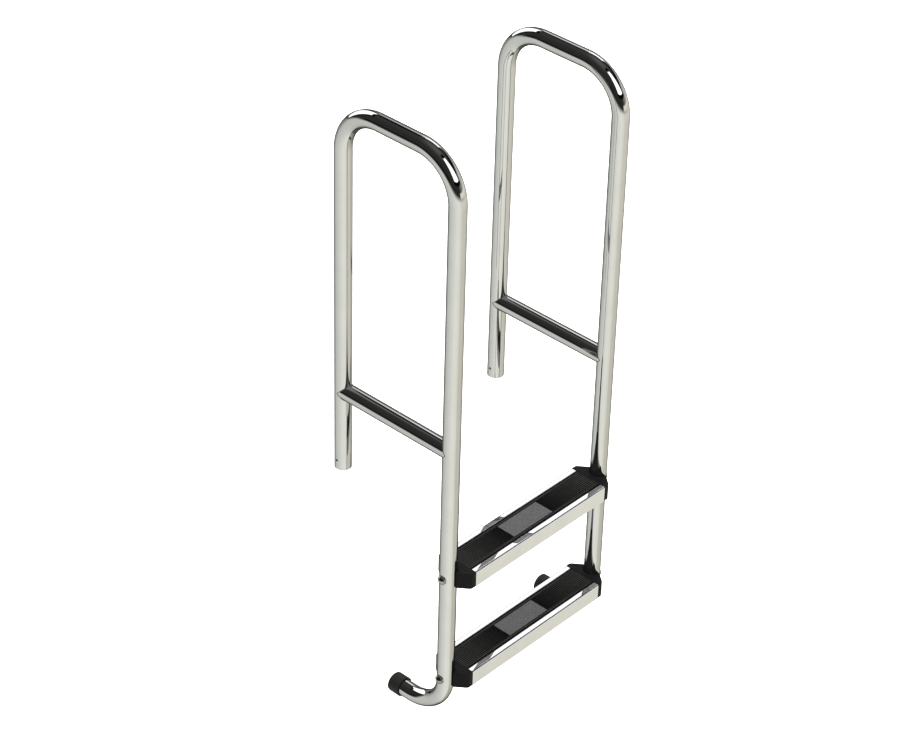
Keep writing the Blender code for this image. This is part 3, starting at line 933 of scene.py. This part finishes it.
def make_fasteners(level, side, sign, material):
    prefix = level + "_" + side
    outward = (0, sign * math.pi / 2, 0)
    bolt_low, bolt_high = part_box(prefix + "_bolt")
    washer_low, washer_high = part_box(prefix + "_washer")
    nut_low, nut_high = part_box(prefix + "_nut")
    center = middle(prefix + "_washer")
    length = bolt_high.x - bolt_low.x - BOLT_HEAD_HEIGHT
    seat_x = (bolt_high.x if sign > 0 else bolt_low.x) - sign * BOLT_HEAD_HEIGHT
    add_piece(lathe(prefix + "_domed_bolt", bolt_profile(length)), material,
              [prefix + "_bolt"], place=(seat_x, FRONT_Y, center.z), turn=outward)
    rise = max(abs(washer_low.x), abs(washer_high.x)) - RAIL_X - TUBE_RADIUS
    washer = washer_mesh(prefix + "_saddle_washer", BOLT_RADIUS + CLEARANCE,
                         size(prefix + "_washer").z / 2, rise)
    add_piece(washer, material, [prefix + "_washer"],
              place=(sign * (RAIL_X + TUBE_RADIUS), FRONT_Y, center.z), turn=outward)
    nut_size = size(prefix + "_nut")
    flats = min(nut_size.y, nut_size.z)
    start_x = nut_low.x if sign > 0 else nut_high.x
    nut = nut_mesh(prefix + "_hex_nut", flats, nut_size.x, BOLT_RADIUS + SNUG)
    add_piece(nut, material, [prefix + "_nut"],
              place=(start_x, FRONT_Y, center.z), turn=outward)


# The studio ----------------------------------------------------------------------------------

CAMERA_PLACE = (-3.9499, -3.6971, 3.9335)
CAMERA_AZIMUTH = -47.85283
CAMERA_ELEVATION = 34.93264
CAMERA_ROLL = 1.64802
CAMERA_LENS = 111.645

FLOOR_DROP = 0.002            # the floor lies this far under the ladder
FLOOR_HALF_WIDTH = 40

STEEL_REFLECTANCE = 0.62      # the studio's tones are set as the rails show them
SOFTBOX = (1.25, 1.25, 1.25)
FRAME = (0.002, 0.002, 0.002)
SECOND_REFLECTION = 2.5       # Ray Depth is 2 in a first reflection, and more in the next

# Tones round the studio by azimuth, from +Y towards +X in degrees
GROUND_TONES = [(-180, (0.700, 0.700, 0.635)), (-130, (0.690, 0.695, 0.640)),
                (-90, (0.590, 0.600, 0.560)), (-50, (0.500, 0.515, 0.485)),
                (-28, (0.485, 0.495, 0.460)), (-12, (0.290, 0.295, 0.270)),
                (30, (0.290, 0.295, 0.275)), (80, (0.300, 0.295, 0.270)),
                (105, (0.290, 0.280, 0.245)), (130, (0.450, 0.440, 0.365)),
                (160, (0.395, 0.390, 0.325)), (172, (0.420, 0.415, 0.355)),
                (180, (0.700, 0.700, 0.635))]
WALL_TONES = [(-180, (0.030, 0.030, 0.029)), (-170, (0.020, 0.020, 0.0195)),
              (-100, (0.018, 0.018, 0.0175)), (-20, (0.022, 0.022, 0.0215)),
              (40, (0.160, 0.160, 0.155)), (55, (0.130, 0.130, 0.126)),
              (70, (0.200, 0.200, 0.192)), (95, (0.400, 0.398, 0.380)), (112, (0.510, 0.505, 0.480)),
              (132, (0.380, 0.375, 0.350)), (150, (0.200, 0.198, 0.188)), (168, (0.120, 0.119, 0.113)),
              (180, (0.030, 0.030, 0.029))]
# Tones of the ceiling by elevation
CEILING_TONES = [(0, (0.019, 0.019, 0.0185)), (45, (0.023, 0.023, 0.0225)), (62, (0.040, 0.040, 0.039)),
                 (76, (0.072, 0.072, 0.070)), (90, (0.082, 0.082, 0.080))]

# Elevations over which one tone passes into the next
HORIZON = (-17, -3.5)
WALL_TOP = (17, 31)
FILL_RISE = (-20, 60)

# Windows in the studio: azimuths from and to, elevations from and to, and softness, in degrees
SUNK_HORIZON = (-42, -2, -90, 90, 18)
SUNK_DEGREES = 9
GROUND_PATCHES = [((75, 195, -38, 20, 40), (0.60, 0.585, 0.51)),
                  ((0, 80, -85, -42, 12), (0.11, 0.11, 0.105))]
STUDIO_PATCHES = [((102, 186, -9, 1, 4), (0.66, 0.645, 0.57)),
                  ((84, 152, 30, 48, 6), FRAME), ((-105, -42, -1, 8, 4), FRAME),
                  ((-20, 42, -3, 50, 2), FRAME), ((34, 95, 30, 62, 3), FRAME),
                  ((142, 218, 13, 74, 3), FRAME), ((33, 44, -27, 2, 4), FRAME),
                  ((44, 82, 24, 44, 18), (0.42, 0.42, 0.41)),
                  ((156, 209, 21, 66, 1), SOFTBOX), ((46, 83, 33, 51, 1), SOFTBOX),
                  ((-9, 33, -1, 44, 1), SOFTBOX),
                  ((43, 57, 31, 44, 2), (0.79, 0.79, 0.79))]

# What the steel shows where it reflects other steel, and what lights the rubber and plastic
TWICE_REFLECTED = (0.245, 0.245, 0.241)
TWICE_PATCHES = [((125, 230, -25, 36, 4), (0.045, 0.045, 0.043))]
FILL_BELOW = (0.03, 0.03, 0.029)
FILL_ABOVE = (1.95, 1.95, 1.95)


def make_camera():
    camera = bpy.data.objects.new("camera", bpy.data.cameras.new("camera"))
    camera.data.lens = CAMERA_LENS
    camera.data.clip_end = 100
    camera.location = CAMERA_PLACE
    aim = Euler((math.radians(90 - CAMERA_ELEVATION), 0, math.radians(CAMERA_AZIMUTH))).to_matrix()
    roll = Euler((0, 0, math.radians(CAMERA_ROLL))).to_matrix()
    camera.rotation_euler = (aim @ roll).to_euler()
    bpy.context.scene.collection.objects.link(camera)
    bpy.context.scene.camera = camera


def tones_round(tree, turned, tones):
    """The tone at an azimuth, given as a share of the whole turn."""
    return ramp(tree, turned, [((degrees + 180) / 360, tone) for degrees, tone in tones])


def make_world():
    """A pale ground and a bright side wall under a dark ceiling with softboxes, on plain white."""
    world = bpy.data.worlds.new("studio")
    bpy.context.scene.world = world
    world.use_nodes = True
    tree = world.node_tree
    tree.nodes.clear()
    direction = tree.nodes.new("ShaderNodeTexCoord").outputs["Generated"]
    split = tree.nodes.new("ShaderNodeSeparateXYZ")
    tree.links.new(direction, split.inputs[0])
    x, y, z = (Value(tree, output) for output in split.outputs)
    azimuth = x.operate("ARCTAN2", y) * (180 / math.pi)
    elevation = z.operate("ARCSINE") * (180 / math.pi)
    turned = azimuth.remap(-180, 180, kind="LINEAR")

    def window(from_azimuth, to_azimuth, from_elevation, to_elevation, softness):
        """1 inside the stretch of the studio, 0 outside it."""
        half = (to_azimuth - from_azimuth) / 2
        around = (azimuth - (from_azimuth + to_azimuth) / 2 + 180).operate("FLOORED_MODULO", 360) - 180
        edge = softness / 2
        inside = around.operate("ABSOLUTE").remap(half - edge, half + edge, 1.0, 0.0)
        inside *= elevation.remap(from_elevation - edge, from_elevation + edge)
        return inside * elevation.remap(to_elevation - edge, to_elevation + edge, 1.0, 0.0)

    def painted(tones, patches):
        """The tones with the windows of other tones laid over them, one after another."""
        for stretch, tone in patches:
            tones = mix(tree, window(*stretch), tones, tone)
        return tones

    def background(strength):
        node = tree.nodes.new("ShaderNodeBackground")
        node.inputs["Strength"].default_value = strength
        return node

    def either(share, first, second):
        """The second shader where the share is 1, and the first where it is 0."""
        node = tree.nodes.new("ShaderNodeMixShader")
        for socket, source in zip(node.inputs, (share, first, second)):
            tree.links.new(source, socket)
        return node.outputs[0]

    ground = painted(tones_round(tree, turned, GROUND_TONES), GROUND_PATCHES)
    ceiling = ramp(tree, elevation.remap(0, 90, kind="LINEAR"),
                   [(degrees / 90, tone) for degrees, tone in CEILING_TONES])
    above = mix(tree, elevation.remap(*WALL_TOP), tones_round(tree, turned, WALL_TONES), ceiling)
    horizon = elevation - window(*SUNK_HORIZON) * SUNK_DEGREES
    studio = painted(mix(tree, horizon.remap(*HORIZON), ground, above), STUDIO_PATCHES)
    path = tree.nodes.new("ShaderNodeLightPath")
    again = Value(tree, path.outputs["Ray Depth"]).operate("GREATER_THAN", SECOND_REFLECTION)
    studio = mix(tree, again, studio, painted(TWICE_REFLECTED, TWICE_PATCHES))
    fill = mix(tree, elevation.remap(*FILL_RISE), FILL_BELOW, FILL_ABOVE)

    reflected = background(1 / STEEL_REFLECTANCE)
    tree.links.new(studio.socket, reflected.inputs["Color"])
    soft = background(1.0)
    tree.links.new(fill.socket, soft.inputs["Color"])
    plain = background(1.0)
    plain.inputs["Color"].default_value = (1, 1, 1, 1)
    lighting = either(path.outputs["Is Diffuse Ray"], reflected.outputs[0], soft.outputs[0])
    seen = either(path.outputs["Is Camera Ray"], lighting, plain.outputs[0])
    output = tree.nodes.new("ShaderNodeOutputWorld")
    tree.links.new(seen, output.inputs["Surface"])


def make_floor():
    """A plain pale floor under the ladder, evenly lit as in a white studio."""
    mesh = bpy.data.meshes.new("studio_floor")
    bm = bmesh.new()
    bmesh.ops.create_grid(bm, x_segments=1, y_segments=1, size=FLOOR_HALF_WIDTH)
    bm.to_mesh(mesh)
    bm.free()
    floor = bpy.data.objects.new("studio_floor", mesh)
    floor.location.z = cad_bounds[0].z - FLOOR_DROP
    bpy.context.scene.collection.objects.link(floor)
    material = bpy.data.materials.new("studio_floor")
    material.use_nodes = True
    shader = material.node_tree.nodes["Principled BSDF"]
    shader.inputs["Base Color"].default_value = (0.9, 0.9, 0.9, 1.0)
    shader.inputs["Emission Color"].default_value = (1, 1, 1, 1)
    shader.inputs["Emission Strength"].default_value = 1.0
    mesh.materials.append(material)
    floor.visible_glossy = False
    floor.visible_diffuse = False
    floor.visible_shadow = False


def main():
    rail_steel = steel_material("rail_steel", (0.61, 0.61, 0.605), (0.63, 0.63, 0.625),
                                smooth_roughness=0.01, rough_roughness=0.02,
                                brushing=(1, 1, 0.02), edge_tint=0.4)
    tread_steel = steel_material("tread_steel", (0.80, 0.805, 0.84), (0.83, 0.835, 0.865),
                                 smooth_roughness=0.012, rough_roughness=0.022,
                                 brushing=(0.02, 1, 1), edge_tint=0.9)
    bolt_steel = steel_material("bolt_steel", (0.34, 0.325, 0.30), (0.42, 0.405, 0.38),
                                smooth_roughness=0.03, rough_roughness=0.06,
                                brushing=(1, 1, 1), edge_tint=0.5)
    weld_steel = steel_material("weld_steel", (0.20, 0.195, 0.185), (0.30, 0.29, 0.275),
                                smooth_roughness=0.08, rough_roughness=0.2,
                                brushing=(1, 1, 1), edge_tint=0.3)
    # Painted shade: the tube's inner wall is coloured far darker than its steel, standing in for the
    # shade inside the tube.
    inside_steel_painted_shade = steel_material("inside_steel_painted_shade", (0.10, 0.10, 0.10), (0.14, 0.14, 0.14),
                                  smooth_roughness=0.5, rough_roughness=0.6,
                                  brushing=(1, 1, 1), edge_tint=0.5)
    cap_plastic = plastic_material("cap_plastic", (0.0085, 0.0085, 0.0087), (0.0112, 0.0112, 0.0114),
                                   roughness=0.5, specular=0.08, grain_scale=1800, grain_depth=0.00002)
    rubber = ribbed_rubber_material()
    bumper_rubber = plastic_material("bumper_rubber", (0.013, 0.0133, 0.011), (0.019, 0.0193, 0.016),
                                     roughness=0.5, specular=0.25,
                                     grain_scale=1200, grain_depth=0.00003)
    grit = grit_material()

    for side, sign in SIDES.items():
        make_rail(side, sign, rail_steel, inside_steel_painted_shade)
        make_brace(side, sign, rail_steel, weld_steel)
        make_bumper(side, sign, bumper_rubber)
    for level in LEVELS:
        make_channel(level, tread_steel)
        make_insert(level, rubber)
        make_pad(level, grit)
        for side, sign in SIDES.items():
            make_cap(level, side, sign, cap_plastic)
            make_fasteners(level, side, sign, bolt_steel)

    make_camera()
    make_world()
    make_floor()
    bpy.context.scene.view_settings.view_transform = "Standard"


main()
